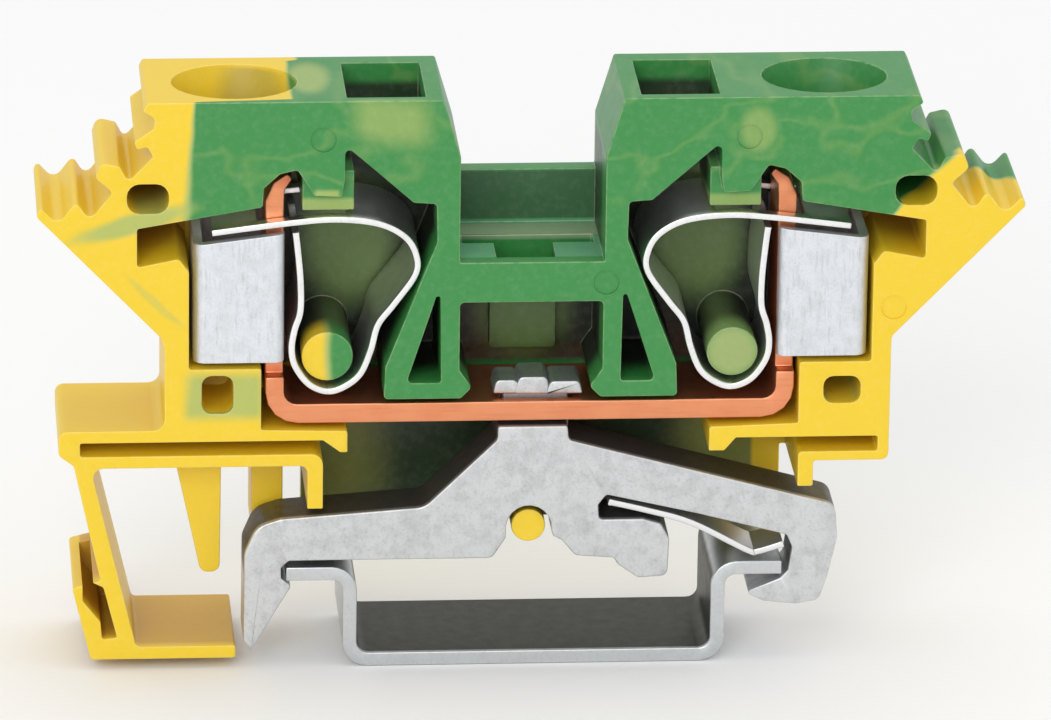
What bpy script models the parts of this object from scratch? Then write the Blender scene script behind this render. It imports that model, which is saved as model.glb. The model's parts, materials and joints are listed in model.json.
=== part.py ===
"""Spring-clamp earth terminal block, clipped on a short length of 35 mm rail.

X runs across the rail, Y along it and Z up. The block's open side faces -Y, and
its closed side +Y. The origin is the middle of the rail's underside.
Lengths are in millimetres, and MM turns them into metres where a mesh is made.
A depth is measured from the open side, towards +Y.
"""

import math

import bmesh
import bpy
from mathutils import Matrix, Vector

MM = 0.001
GAP = 0.3  # between pieces that touch on the real block
PAST = 1.0  # how far a cutter runs past what it cuts
SINK = 0.6  # how far a joined shape reaches into its neighbour
ROUND_STEPS = 4  # straight pieces in a rounded corner
CIRCLE_SIDES = 28

# Block
WIDTH = 10.0  # along the rail
WALL = 1.4  # closed side
BLOCK_X = -0.44  # the block's middle, from the rail's middle
TOWER_TOP = 42.0
TOWER_HALF_GAP = 5.05  # from the block's middle to a tower's inner side
TOWER_END = 26.8
LEAN_HEIGHT = 4.2  # height of the slant at a tower's inner top edge
BACK_WALL_TOP = 34.0  # between the towers
CROSSBAR_TOP = 30.05
CROSSBAR_HEIGHT = 2.95
CROSSBAR_PLATE = 1.2
SIDE_END = 25.6  # outer side of the block under the marker arms

# Wire and tool entries
FUNNEL_U = 20.6
FUNNEL_WIDTH = 8.8
FUNNEL_DEPTH = 4.6
ENTRY_WALL = 0.9  # in front of a funnel or a tool hole
WIRE_BORE_RADIUS = 3.05
TOOL_HOLE_IN = 7.5
TOOL_HOLE_OUT = 12.95
TOOL_HOLE_BOTTOM = 33.4
DIVIDER_IN = 12.4  # between the tool hole and the wire bore, over the clamp spring
DIVIDER_OUT = 16.0
DIVIDER_TOP = 36.6

# Rail
RAIL_WIDTH = 35.0
RAIL_HEIGHT = 7.5
RAIL_SHEET = 1.0
RAIL_CHANNEL = 27.0
RAIL_LENGTH = 10.0
RAIL_BEND = 0.8  # inside radius
RAIL_BEND_STEPS = 3

# Current bar
BAR_TOP = 19.6
BAR_THICK = 1.45
BAR_FRONT = 0.4
BAR_BACK_GAP = 0.4
TONGUE_IN = 17.25  # from the block's middle to a tongue's inner face
TONGUE_THICK = 1.3
TONGUE_INSET = 1.0  # how much narrower a tongue is than the bar, at each edge
TONGUE_START = 21.6
TONGUE_TIP = 36.3

# Clamp spring
SPRING_THICK = 0.45
ARM_END_U = 22.3
ARM_TOP = 33.2
ARM_BEND_U = 16.7  # the arm slopes down outward from here
ARM_DROP = 0.2  # from the loop's top to the bend
ARM_SLOPE = 0.125  # the arm drops this much for each millimetre outward
WINDOW_BAR = 3.2  # steel left beyond the window
WINDOW_SIDE = 0.9
WINDOW_IN = 12.9
LEG_CLEAR = 0.2  # from the leg's end up to the arm's lowest part over the window
PEG_U = 14.2
PEG_Z = 22.9
PEG_RADIUS = 1.8
PEG_FRONT = 1.0

# Conductor guide
GUIDE_SHEET = 0.7
GUIDE_OUT = 23.6
GUIDE_FRONT = 0.1
GUIDE_BOTTOM = 22.8
LEDGE_Z = 22.4  # the housing's ledge under a guide

# Foot and its leaf spring
FOOT_THICK = 4.2
STUD_FRONT = 1.5  # staked stud through the bar
STUD_THICK = 2.2
STUD_HALF = 2.3
HEAD_HEIGHT = 1.1
HEAD_TAPER = 0.2
LEAF_THICK = 0.45
LEAF_ROOT = (5.2, 12.0)
PIN_RADIUS = 1.2
PIN_Z = 10.25

# Lower frame
SHELF_BOTTOM = 0.75
SHELF_TOP = 1.7
BAND_BOTTOM = 15.1
SIDE_BOTTOM = 15.0  # right of the foot
RIM_FALL = 0.15  # the rims under the bar's ends fall towards the middle
BAND_TOP = 16.0
SLOT_TOP = 17.0
WALL_BOTTOM = 7.9  # the closed side's lower edge, above the rail

FRONT = -WIDTH / 2
INSIDE = WIDTH - WALL  # depth of the closed side's inner face
BAR_BOTTOM = BAR_TOP - BAR_THICK
BAR_BACK = INSIDE - BAR_BACK_GAP
TONGUE_OUT = TONGUE_IN + TONGUE_THICK
RIM_TOP = BAR_BOTTOM - GAP
STRUT_BOTTOM = BAR_TOP + GAP + 0.1
CAVITY_SIDE = TONGUE_OUT + GAP
FUNNEL_MIDDLE = (ENTRY_WALL + INSIDE) / 2
WINDOW_OUT = ARM_END_U - WINDOW_BAR
SPRING_SHIFT = GAP + SPRING_THICK / 2  # from the tongue to the middle of the strip

YELLOW = (0.86, 0.63, 0.03, 1)
COPPER = (0.75, 0.33, 0.16, 1)
STEEL = (0.72, 0.74, 0.76, 1)
SPRING_STEEL = (0.80, 0.80, 0.80, 1)
ZINC = (0.66, 0.68, 0.70, 1)


def corner_arc(before, corner, after, radius, steps):
    """Points that round a corner, with the radius kept inside its two sides."""
    corner = Vector(corner)
    one = Vector(before) - corner
    two = Vector(after) - corner
    half = one.angle(two) / 2
    if half > math.radians(88) or radius <= 0:
        return [tuple(corner)]
    reach = min(radius / math.tan(half), 0.48 * one.length, 0.48 * two.length)
    radius = reach * math.tan(half)
    start = corner + one.normalized() * reach
    end = corner + two.normalized() * reach
    middle = corner + (one.normalized() + two.normalized()).normalized() * radius / math.sin(half)
    spoke = start - middle
    turn = spoke.angle_signed(end - middle)
    points = []
    for step in range(steps + 1):
        points.append(tuple(middle + Matrix.Rotation(-turn * step / steps, 2) @ spoke))
    return points


def rounded(outline, steps):
    """The outline with each (x, z, radius) corner rounded and each (x, z) corner sharp."""
    points = []
    for index, entry in enumerate(outline):
        before = outline[index - 1][:2]
        after = outline[(index + 1) % len(outline)][:2]
        radius = entry[2] if len(entry) > 2 else 0
        points += corner_arc(before, entry[:2], after, radius, steps)
    return points


def mirrored(outline):
    """The same stretch of an outline on the other side of the block, in reverse order."""
    return [(-entry[0], *entry[1:]) for entry in reversed(outline)]


def smooth_line(points, steps=4):
    """A Catmull-Rom curve through the points."""
    ends = [points[0], *points, points[-1]]
    line = []
    for index in range(len(points) - 1):
        a, b, c, d = (Vector(p) for p in ends[index : index + 4])
        for step in range(steps):
            t = step / steps
            line.append(0.5 * (2 * b + (c - a) * t + (2 * a - 5 * b + 4 * c - d) * t**2
                               + (3 * b - a - 3 * c + d) * t**3))
    line.append(Vector(points[-1]))
    return line


def strip(line, thickness):
    """The closed outline of sheet that follows a line."""
    left, right = [], []
    for index, point in enumerate(line):
        ahead = line[min(index + 1, len(line) - 1)] - line[max(index - 1, 0)]
        side = Vector((-ahead.y, ahead.x)).normalized() * thickness / 2
        left.append(tuple(point + side))
        right.append(tuple(point - side))
    return left + right[::-1]


def put_in(obj, collection):
    for other in list(obj.users_collection):
        other.objects.unlink(obj)
    collection.objects.link(obj)


def prism(name, outline, near, far, middle_x=BLOCK_X, steps=ROUND_STEPS):
    """A closed solid with this outline in X and Z, between two depths."""
    curve = bpy.data.curves.new(name, "CURVE")
    curve.dimensions = "2D"
    curve.fill_mode = "BOTH"
    curve.extrude = (far - near) / 2 * MM
    points = rounded(outline, steps)
    spline = curve.splines.new("POLY")
    spline.points.add(len(points) - 1)
    for point, (x, z) in zip(spline.points, points):
        point.co = (x * MM, z * MM, 0, 1)
    spline.use_cyclic_u = True
    flat = bpy.data.objects.new(name + "_outline", curve)
    flat.rotation_euler = (math.radians(90), 0, 0)
    flat.location = (middle_x * MM, (FRONT + (near + far) / 2) * MM, 0)
    bpy.context.scene.collection.objects.link(flat)
    bpy.context.view_layer.update()
    mesh = bpy.data.meshes.new_from_object(flat.evaluated_get(bpy.context.evaluated_depsgraph_get()))
    mesh.name = name
    cage = bmesh.new()
    cage.from_mesh(mesh)
    bmesh.ops.remove_doubles(cage, verts=cage.verts, dist=1e-7)
    bmesh.ops.recalc_face_normals(cage, faces=cage.faces)
    cage.to_mesh(mesh)
    cage.free()
    solid = bpy.data.objects.new(name, mesh)
    solid.matrix_world = flat.matrix_world.copy()
    bpy.data.objects.remove(flat)
    bpy.context.scene.collection.objects.link(solid)
    return solid


def box(name, low, high, near, far, middle_x=BLOCK_X, radius=0):
    """A block between two corners in X and Z, and two depths."""
    outline = [(low[0], low[1], radius), (high[0], low[1], radius),
               (high[0], high[1], radius), (low[0], high[1], radius)]
    return prism(name, outline, near, far, middle_x)


def disc(u, z, radius):
    """A circle's outline."""
    return [(u + radius * math.cos(math.tau * i / CIRCLE_SIDES),
             z + radius * math.sin(math.tau * i / CIRCLE_SIDES)) for i in range(CIRCLE_SIDES)]


def upright_cone(name, u, depth, low, high, low_radius, high_radius, squeeze=1.0):
    """A cone or cylinder that stands on Z, made narrower along Y by squeeze."""
    cage = bmesh.new()
    bmesh.ops.create_cone(cage, cap_ends=True, segments=CIRCLE_SIDES, radius1=low_radius * MM,
                          radius2=high_radius * MM, depth=(high - low) * MM)
    bmesh.ops.scale(cage, vec=(1, squeeze, 1), verts=cage.verts)
    mesh = bpy.data.meshes.new(name)
    cage.to_mesh(mesh)
    cage.free()
    solid = bpy.data.objects.new(name, mesh)
    solid.location = ((BLOCK_X + u) * MM, (FRONT + depth) * MM, (low + high) / 2 * MM)
    bpy.context.scene.collection.objects.link(solid)
    return solid


def combine(body, steps, cutters):
    """Cuts from or joins to the body each tool in turn, and puts the tools away."""
    for operation, tool in steps:
        modifier = body.modifiers.new(tool.name, "BOOLEAN")
        modifier.operation = operation
        modifier.object = tool
        modifier.solver = "EXACT"
        tool.hide_render = True
        tool.display_type = "WIRE"
        put_in(tool, cutters)


def paint(obj, name, colour, metallic, roughness):
    material = bpy.data.materials.get(name) or bpy.data.materials.new(name)
    material.use_nodes = True
    shader = material.node_tree.nodes["Principled BSDF"]
    shader.inputs["Base Color"].default_value = colour
    shader.inputs["Metallic"].default_value = metallic
    shader.inputs["Roughness"].default_value = roughness
    material.diffuse_color = colour
    obj.data.materials.append(material)


def set_origin(obj, x, depth, z):
    """Moves the object's origin, with its shape left where it is."""
    bpy.context.view_layer.update()
    place = Vector((x * MM, (FRONT + depth) * MM, z * MM))
    obj.data.transform(Matrix.Translation(-place) @ obj.matrix_world)
    obj.matrix_world = Matrix.Translation(place)


# ---- housing -------------------------------------------------------------

# The left marker arm's edge, from the tower down to the tip, then back to the side.
MARKER_ARM = [
    (-27.1, 41.4, 0.2), (-26.3, 40.9, 0.3), (-26.3, 40.2, 0.3), (-27.7, 39.2, 0.25),
    (-27.5, 38.6, 0.2), (-26.8, 38.8, 0.2), (-26.4, 38.1, 0.2), (-28.1, 36.3, 0.3),
    (-28.7, 37.4, 0.3), (-30.0, 37.7, 0.5), (-30.4, 36.6, 0.4), (-29.2, 35.5, 0.3),
    (-30.8, 33.5, 0.45), (-31.7, 34.9, 0.3), (-33.0, 33.2, 0.6), (-34.2, 34.5, 0.2),
    (-34.5, 33.8, 0.4),
]

# The clamp pocket's edge on the left, from its outer end up and over to the crossbar.
POCKET_TOP = [
    (-27.5, 30.0, 0.2), (-27.5, 32.8, 0.2), (-18.8, 34.3, 0.2), (-18.7, 35.7, 0.3),
    (-17.6, 36.7, 0.4), (-16.4, 37.0, 0.3), (-15.2, 35.1, 0.2), (-13.3, 35.0, 0.2),
    (-13.1, 36.1), (-13.1, 38.8, 0.3), (-8.3, 34.5, 0.3), (-6.7, 34.4, 0.3),
    (-6.65, 31.6, 0.3), (-10.2, 22.4, 0.5), (-10.3, STRUT_BOTTOM, 0.3),
    (-4.9, STRUT_BOTTOM, 0.3), (-4.1, STRUT_BOTTOM + 0.8, 0.4), (-5.0, STRUT_BOTTOM + 2.1, 0.4),
    (-5.0, CROSSBAR_TOP - CROSSBAR_HEIGHT, 0.3),
]

# The same pocket's edge from the ledge under the guide up to the outer end.
POCKET_SIDE = [
    (-CAVITY_SIDE, RIM_TOP), (-CAVITY_SIDE, LEDGE_Z, 0.2), (-GUIDE_OUT - GAP, LEDGE_Z, 0.2),
    (-GUIDE_OUT - GAP, 29.6, 0.3), (-24.6, 30.6, 0.4),
]


def housing_edge():
    """The block's edge, seen from the open side."""
    tower = [(-TOWER_HALF_GAP, BACK_WALL_TOP), (-TOWER_HALF_GAP, TOWER_TOP - LEAN_HEIGHT, 0.5),
             (-TOWER_HALF_GAP - 1.25, TOWER_TOP, 0.2), (-TOWER_END, TOWER_TOP, 0.2)]
    lower_left = [
        (-SIDE_END - 0.2, 24.7, 0.5), (-SIDE_END, 24.0), (-SIDE_END, 17.9, 0.8),
        (-33.0, 17.9, 0.6), (-33.0, 16.1, 0.5), (-31.95, 15.3, 0.3), (-30.1, 6.7),
        (-32.1, 6.2, 0.3), (-30.8, SHELF_BOTTOM, 0.25), (-20.6, SHELF_BOTTOM, 0.2),
        (-20.6, SHELF_TOP, 0.2), (-27.6, SHELF_TOP, 0.4), (-30.75, BAND_BOTTOM, 0.7),
        (-15.6, BAND_BOTTOM, 0.5), (-15.6, WALL_BOTTOM),
    ]
    lower_right = [
        (16.5, WALL_BOTTOM), (18.5, 10.5), (18.5, 13.1), (20.0, 13.1, 0.15),
        (20.0, SIDE_BOTTOM, 0.2), (25.3, SIDE_BOTTOM, 0.5), (25.3, 24.2, 0.5),
    ]
    return tower + MARKER_ARM + lower_left + lower_right + mirrored(MARKER_ARM) + mirrored(tower)


def pocket_edge():
    """The open pocket in front of the closed side: both clamps, the bar and the foot's neck."""
    lower_left = [
        (-16.5, WALL_BOTTOM - PAST), (-16.5, 11.9), (-14.5, 11.9), (-14.5, BAND_TOP, 0.8),
        (-31.5, BAND_TOP, 0.15), (-31.5, SLOT_TOP, 0.15), (-14.5, SLOT_TOP, 0.2),
        (-13.3, 16.1, 0.2), (-12.8, 16.1), (-12.8, RIM_TOP - RIM_FALL, 0.2),
    ]
    lower_right = [
        (12.6, RIM_TOP - RIM_FALL - 0.05, 0.2), (12.6, 15.85), (13.7, 15.85, 0.2), (14.5, 16.8, 0.2),
        (24.5, 16.8, 0.15), (24.5, 15.7, 0.15), (18.9, 15.7, 0.3), (18.9, 12.6),
        (19.4, 12.6), (19.4, WALL_BOTTOM - PAST),
    ]
    return (lower_left + POCKET_SIDE + POCKET_TOP + mirrored(POCKET_TOP)
            + mirrored(POCKET_SIDE) + lower_right)


def entry_steps(side):
    """The funnel, wire bore and tool hole of one tower; side is -1 on the left and 1 on the right."""
    end = "left" if side < 0 else "right"
    funnel_bottom = TOWER_TOP - FUNNEL_DEPTH
    half_depth = (INSIDE - ENTRY_WALL) / 2
    slope = (FUNNEL_WIDTH / 2 - WIRE_BORE_RADIUS) / FUNNEL_DEPTH
    rim_radius = FUNNEL_WIDTH / 2 + slope * PAST
    # The whole cone is squeezed along Y, so its rim keeps clear of both walls.
    funnel = upright_cone(f"{end}_funnel_cut", side * FUNNEL_U, FUNNEL_MIDDLE, funnel_bottom,
                          TOWER_TOP + PAST, WIRE_BORE_RADIUS, rim_radius,
                          half_depth / (FUNNEL_WIDTH / 2))
    bore = upright_cone(f"{end}_bore_cut", side * FUNNEL_U, FUNNEL_MIDDLE, ARM_TOP - PAST,
                        funnel_bottom + SINK, WIRE_BORE_RADIUS, WIRE_BORE_RADIUS)
    inner, outer = sorted((side * TOOL_HOLE_IN, side * TOOL_HOLE_OUT))
    tool = box(f"{end}_tool_hole_cut", (inner, TOOL_HOLE_BOTTOM), (outer, TOWER_TOP + PAST),
               ENTRY_WALL, INSIDE - 0.05)
    low_u, high_u = sorted((side * DIVIDER_IN, side * DIVIDER_OUT))
    divider = box(f"{end}_divider", (low_u, hold_down_z()), (high_u, DIVIDER_TOP),
                  PEG_FRONT, INSIDE + SINK)
    return [("DIFFERENCE", funnel), ("DIFFERENCE", bore), ("DIFFERENCE", tool), ("UNION", divider)]


def hold_down_z():
    """The underside of the divider, just above the clamp spring's arm."""
    return ARM_TOP + SPRING_THICK / 2 + GAP


def small_steps(side):
    """Peg, strut opening, socket and label hole, alike on both sides."""
    end = "left" if side < 0 else "right"
    peg = prism(f"{end}_peg", disc(side * PEG_U, PEG_Z, PEG_RADIUS), PEG_FRONT, INSIDE + SINK)
    opening = [(-6.4, 28.4, 0.15), (-8.7, 21.2, 0.3), (-6.3, 21.2, 0.2)]
    socket = (-21.9, 20.5, 1.1, 1.4)
    if side > 0:
        opening = mirrored(opening)
        socket = (21.9, 20.3, 1.3, 1.0)
    strut = prism(f"{end}_strut_cut", opening, -PAST, INSIDE - 0.1)
    u, z, half_u, half_z = socket
    hole = box(f"{end}_socket_cut", (u - half_u, z - half_z), (u + half_u, z + half_z),
               -PAST, 6.0, radius=0.7)
    label = box(f"{end}_label_cut", (side * 26.75 - 1.45, 33.93), (side * 26.75 + 1.45, 36.08),
                -PAST, INSIDE - 0.2, radius=0.9)
    return [("UNION", peg), ("DIFFERENCE", strut), ("DIFFERENCE", hole), ("DIFFERENCE", label)]


def make_housing(parts, cutters):
    body = prism("housing", housing_edge(), 0, WIDTH)
    slot_half = TOWER_HALF_GAP - 0.45
    crossbar_cut = CROSSBAR_TOP - 1.9
    steps = [
        ("DIFFERENCE", prism("pocket_cut", pocket_edge(), -PAST, INSIDE)),
        ("DIFFERENCE", box("saddle_cut", (-TOWER_HALF_GAP, CROSSBAR_TOP),
                           (TOWER_HALF_GAP, TOWER_TOP - LEAN_HEIGHT), -PAST, INSIDE)),
        ("DIFFERENCE", box("crossbar_slot_cut", (-slot_half, crossbar_cut),
                           (slot_half, BACK_WALL_TOP), 4.3, 5.9)),
        ("DIFFERENCE", box("crossbar_pocket_cut", (-2.4, crossbar_cut + 0.1),
                           (1.7, BACK_WALL_TOP), CROSSBAR_PLATE, 4.6)),
        ("UNION", box("centre_pad", (-2.4, 21.0), (2.3, 27.0), INSIDE - 1.0, INSIDE + SINK,
                      radius=0.3)),
        ("UNION", prism("foot_pin", disc(0, PIN_Z, PIN_RADIUS), 0.5, INSIDE + SINK)),
    ]
    for side in (-1, 1):
        steps += entry_steps(side) + small_steps(side)
    finger = [(-25.0, BAND_BOTTOM + SINK), (-22.95, 6.1, 0.6), (-21.6, 6.1, 0.6),
              (-21.5, BAND_BOTTOM + SINK)]
    steps.append(("UNION", prism("frame_finger", finger, 3.0, 7.0)))
    steps.append(("UNION", box("frame_rib", (-19.3, WALL_BOTTOM + 0.6), (-17.1, BAND_BOTTOM + SINK),
                               FOOT_THICK + GAP + 0.1, WIDTH - 0.2)))
    wing = [(-31.35, 6.9), (-31.35, 5.2, 0.4), (-30.1, 3.6, 0.5), (-30.0, 2.3, 0.2),
            (-28.95, 2.4, 0.1), (-29.9, 6.2)]
    steps.append(("DIFFERENCE", prism("wing_cut", wing, -PAST, INSIDE)))
    for index, (u, z) in enumerate([(-14.6, 39.2), (15.0, 39.1), (5.2, 28.5), (25.4, 26.4)]):
        steps.append(("DIFFERENCE", prism(f"ejector_mark_{index}_cut", disc(u, z, 0.9), -PAST, 0.1)))
    put_in(body, parts)
    combine(body, steps, cutters)
    paint(body, "green_yellow_polyamide", YELLOW, 0.0, 0.4)


# ---- metal inside the block ----------------------------------------------


def make_current_bar(parts, cutters):
    """The copper strip under both clamps, with a tongue bent up at each end."""
    tip = [(-TONGUE_IN, TONGUE_TIP - 2.1, 0.6), (-TONGUE_IN + 0.05, TONGUE_TIP - 1.2, 0.3),
           (-TONGUE_IN + 0.6, TONGUE_TIP - 0.4, 0.2), (-TONGUE_IN + 0.25, TONGUE_TIP, 0.2),
           (-TONGUE_OUT + 0.5, TONGUE_TIP - 0.7, 0.6), (-TONGUE_OUT, TONGUE_TIP - 1.9, 0.6)]
    left = [(-TONGUE_IN, BAR_TOP, 0.9), *tip, (-TONGUE_OUT, BAR_BOTTOM, 2.3)]
    bar = prism("current_bar", left + mirrored(left), BAR_FRONT, BAR_BACK)
    steps = []
    for side, end in ((-1, "left"), (1, "right")):
        low_u = min(side * (TONGUE_IN - PAST), side * (TONGUE_OUT + PAST))
        high_u = max(side * (TONGUE_IN - PAST), side * (TONGUE_OUT + PAST))
        for edge, near, far in (
            ("front", BAR_FRONT - PAST, BAR_FRONT + TONGUE_INSET),
            ("back", BAR_BACK - TONGUE_INSET, BAR_BACK + PAST),
        ):
            steps.append(("DIFFERENCE", box(f"{end}_{edge}_tongue_cut", (low_u, TONGUE_START),
                                            (high_u, TONGUE_TIP + PAST), near, far)))
    hole = STUD_HALF + GAP
    steps.append(("DIFFERENCE", box("stud_hole_cut", (-hole, BAR_BOTTOM - PAST),
                                    (hole, BAR_TOP + PAST), STUD_FRONT - GAP,
                                    STUD_FRONT + STUD_THICK + GAP, middle_x=0)))
    put_in(bar, parts)
    combine(bar, steps, cutters)
    paint(bar, "tinned_copper", COPPER, 1.0, 0.35)


def arm_z(u):
    """The height of the middle of a clamp spring's arm, at this distance from the block's middle."""
    return ARM_TOP - ARM_DROP - ARM_SLOPE * (u - ARM_BEND_U)


def arm_underside(u):
    return arm_z(u) - SPRING_THICK / 2


def spring_line():
    """The middle of the left clamp spring's strip, from the arm's end round to the leg's end."""
    inner = -TONGUE_IN + SPRING_SHIFT
    leg_top = arm_underside(WINDOW_OUT) - LEG_CLEAR
    slant = [(-ARM_END_U, arm_z(ARM_END_U)), (-ARM_BEND_U, arm_z(ARM_BEND_U))]
    loop = [(-13.6, ARM_TOP), (-10.7, ARM_TOP - 0.35), (-8.9, 31.9), (-8.1, 30.6), (-8.1, 29.1),
            (-9.6, 26.9), (-10.7, 25.4), (-11.2, 23.5), (-11.9, 21.8), (-13.0, 20.85),
            (-14.2, 20.5), (-15.5, 21.05)]
    leg = [(inner + 0.25, 22.4), (inner, 23.7), (inner + 0.2, 25.1), (inner + 0.6, 26.5),
           (inner + 0.6, 28.7), (inner + 0.4, 31.0), (inner + 0.25, leg_top)]
    return smooth_line(slant + loop + leg)


def make_clamp_spring(side, parts, cutters):
    end = "left" if side < 0 else "right"
    edge = strip(spring_line(), SPRING_THICK)
    spring = prism(f"{end}_clamp_spring", edge if side < 0 else mirrored(edge), BAR_FRONT, BAR_BACK)
    low_u, high_u = sorted((side * WINDOW_OUT, side * WINDOW_IN))
    low_z = arm_underside(WINDOW_OUT) - LEG_CLEAR / 2
    window = box(f"{end}_window_cut", (low_u, low_z), (high_u, ARM_TOP + PAST),
                 BAR_FRONT + WINDOW_SIDE, BAR_BACK - WINDOW_SIDE)
    put_in(spring, parts)
    combine(spring, [("DIFFERENCE", window)], cutters)
    paint(spring, "spring_steel", SPRING_STEEL, 1.0, 0.25)


def make_conductor_guide(side, parts, cutters):
    """A sleeve with three walls, which the tongue closes on its inner side."""
    end = "left" if side < 0 else "right"
    inner = TONGUE_IN
    inner_top = arm_underside(inner + 0.5) - GAP
    outer_top = arm_underside(GUIDE_OUT) - GAP
    edge = [(-GUIDE_OUT, GUIDE_BOTTOM, 0.1), (-inner, GUIDE_BOTTOM, 0.3),
            (-inner, inner_top, 0.5), (-GUIDE_OUT, outer_top, 0.1)]
    guide = prism(f"{end}_conductor_guide", edge if side < 0 else mirrored(edge),
                  GUIDE_FRONT, BAR_BACK)
    low_u, high_u = sorted((side * (GUIDE_OUT - GUIDE_SHEET), side * (inner - PAST)))
    passage = box(f"{end}_guide_cut", (low_u, GUIDE_BOTTOM - PAST), (high_u, ARM_TOP + PAST),
                  GUIDE_FRONT + GUIDE_SHEET, BAR_BACK - GUIDE_SHEET)
    put_in(guide, parts)
    combine(guide, [("DIFFERENCE", passage)], cutters)
    paint(guide, "plated_steel", STEEL, 1.0, 0.4)


# ---- foot, leaf spring and rail -------------------------------------------


def make_ground_foot(parts, cutters):
    """The thick plate that hooks round both flanges of the rail."""
    flange = RAIL_WIDTH / 2
    seat = RAIL_HEIGHT + GAP + 0.2
    under = RAIL_HEIGHT - RAIL_SHEET - GAP
    neck_top = BAR_BOTTOM - GAP
    left_hook = [
        (-17.3, seat, 0.3), (-flange - 0.35, seat - 0.5, 0.3), (-flange - 0.35, under + 0.5, 0.2),
        (-flange + 0.4, under - 0.1, 0.3), (-flange - 0.1, under - 0.9), (-19.9, 1.3, 0.1),
        (-20.5, 2.0, 0.5), (-20.45, 8.6, 1.6), (-19.6, 10.6, 1.6), (-17.9, 11.15, 1.2),
        (-7.8, 11.9, 1.5),
    ]
    neck = [(-2.7, 16.9, 0.6), (-2.7, neck_top, 0.2), (2.2, neck_top, 0.2), (2.3, 16.8, 0.4)]
    arm = [
        (19.4, 12.2, 0.5), (21.2, 11.7, 1.0), (21.4, 9.2, 0.8), (20.8, 6.4, 1.0), (20.2, 4.5, 0.7),
        (18.6, 4.2, 0.5), (16.3, 4.45, 0.5), (14.9, 5.15, 0.2), (flange - 0.1, under, 0.3),
        (flange + 0.45, under + 0.6, 0.3), (18.2, 8.5, 0.5), (17.8, 9.45, 0.3),
    ]
    slot = [(11.4, 11.15, 0.6), (5.0, 12.65, 0.3), (4.45, 11.9, 0.2), (4.5, 10.8, 0.3)]
    hook_plate = [
        (7.6, 10.8, 0.4), (8.9, 10.4, 0.5), (9.5, 9.3, 0.3), (9.4, 6.5, 0.5), (7.35, 6.35, 0.6),
        (5.9, 7.4, 0.3), (5.6, 7.9, 0.3), (2.9, 8.1, 0.6), (1.9, 9.3, 0.4), (1.3, 9.6, 0.2),
    ]
    notch = [(BLOCK_X + 1.6 * math.cos(a), PIN_Z + 1.65 * math.sin(a))
             for a in (math.radians(18 * step - 6) for step in range(11))]
    span = [(-2.05, 9.5, 0.2), (-3.0, seat, 0.6)]
    edge = left_hook + neck + arm + slot + hook_plate + notch + span
    foot = prism("ground_foot", edge, 0, FOOT_THICK, middle_x=0)
    stud_back = STUD_FRONT + STUD_THICK
    stud = box("foot_stud", (-STUD_HALF, neck_top - SINK), (STUD_HALF, BAR_TOP + GAP + SINK),
               STUD_FRONT, stud_back, middle_x=0)
    head_bottom = BAR_TOP + GAP
    steps = [("UNION", stud)]
    for index, (low_x, high_x, lift) in enumerate([(-3.0, -1.1, -0.1), (-1.4, 1.0, 0.15),
                                                   (0.8, 3.3, -0.15)]):
        head = [(low_x, head_bottom), (high_x, head_bottom),
                (high_x - HEAD_TAPER, head_bottom + HEAD_HEIGHT + lift, 0.4),
                (low_x + HEAD_TAPER, head_bottom + HEAD_HEIGHT + lift, 0.4)]
        steps.append(("UNION", prism(f"foot_head_{index}", head, STUD_FRONT - 0.3 - 0.1 * index,
                                     stud_back + 0.4 + 0.1 * index, middle_x=0)))
    put_in(foot, parts)
    combine(foot, steps, cutters)
    paint(foot, "zinc_plated_steel", ZINC, 1.0, 0.45)


def make_leaf_spring(parts):
    """The strip in the foot's slot, turning at its rooted end."""
    root_x, root_z = LEAF_ROOT
    line = smooth_line([(root_x, root_z), (7.8, 11.35), (11.05, 10.35), (15.0, 8.25),
                        (15.8, 8.1), (17.6, 8.65)])
    leaf = prism("foot_leaf_spring", strip(line, LEAF_THICK), 0.3, FOOT_THICK - 0.3, middle_x=0)
    set_origin(leaf, root_x, FOOT_THICK / 2, root_z)
    put_in(leaf, parts)
    paint(leaf, "spring_steel", SPRING_STEEL, 1.0, 0.25)


def make_rail_section(parts):
    tip = RAIL_WIDTH / 2
    outer = RAIL_CHANNEL / 2
    inner = outer - RAIL_SHEET
    bend = RAIL_BEND
    wide = RAIL_BEND + RAIL_SHEET
    low = RAIL_HEIGHT - RAIL_SHEET
    left = [(-inner, RAIL_SHEET, bend), (-inner, RAIL_HEIGHT, wide), (-tip, RAIL_HEIGHT, 0.15),
            (-tip, low, 0.15), (-outer, low, bend), (-outer, 0, wide)]
    near = (WIDTH - RAIL_LENGTH) / 2
    rail = prism("rail_section", left + mirrored(left), near, near + RAIL_LENGTH, middle_x=0,
                 steps=RAIL_BEND_STEPS)
    put_in(rail, parts)
    paint(rail, "galvanised_rail", ZINC, 1.0, 0.35)


def main():
    for obj in list(bpy.data.objects):
        bpy.data.objects.remove(obj, do_unlink=True)
    parts = bpy.data.collections.new("terminal_block")
    cutters = bpy.data.collections.new("cutters")
    cutters.hide_render = True
    for collection in (parts, cutters):
        bpy.context.scene.collection.children.link(collection)
    make_housing(parts, cutters)
    make_current_bar(parts, cutters)
    for side in (-1, 1):
        make_clamp_spring(side, parts, cutters)
        make_conductor_guide(side, parts, cutters)
    make_ground_foot(parts, cutters)
    make_leaf_spring(parts)
    make_rail_section(parts)


main()
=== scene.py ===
"""Looks of a spring-clamp earth terminal block, clipped on a short length of rail.

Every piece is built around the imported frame: X runs across the rail, Y along it and Z up.
The block's open side faces -Y. Lengths in the materials and outlines are millimetres, and
MM turns them into metres. U is a distance from the block's middle, and a depth is measured
from the open side, towards +Y.
"""

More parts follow.
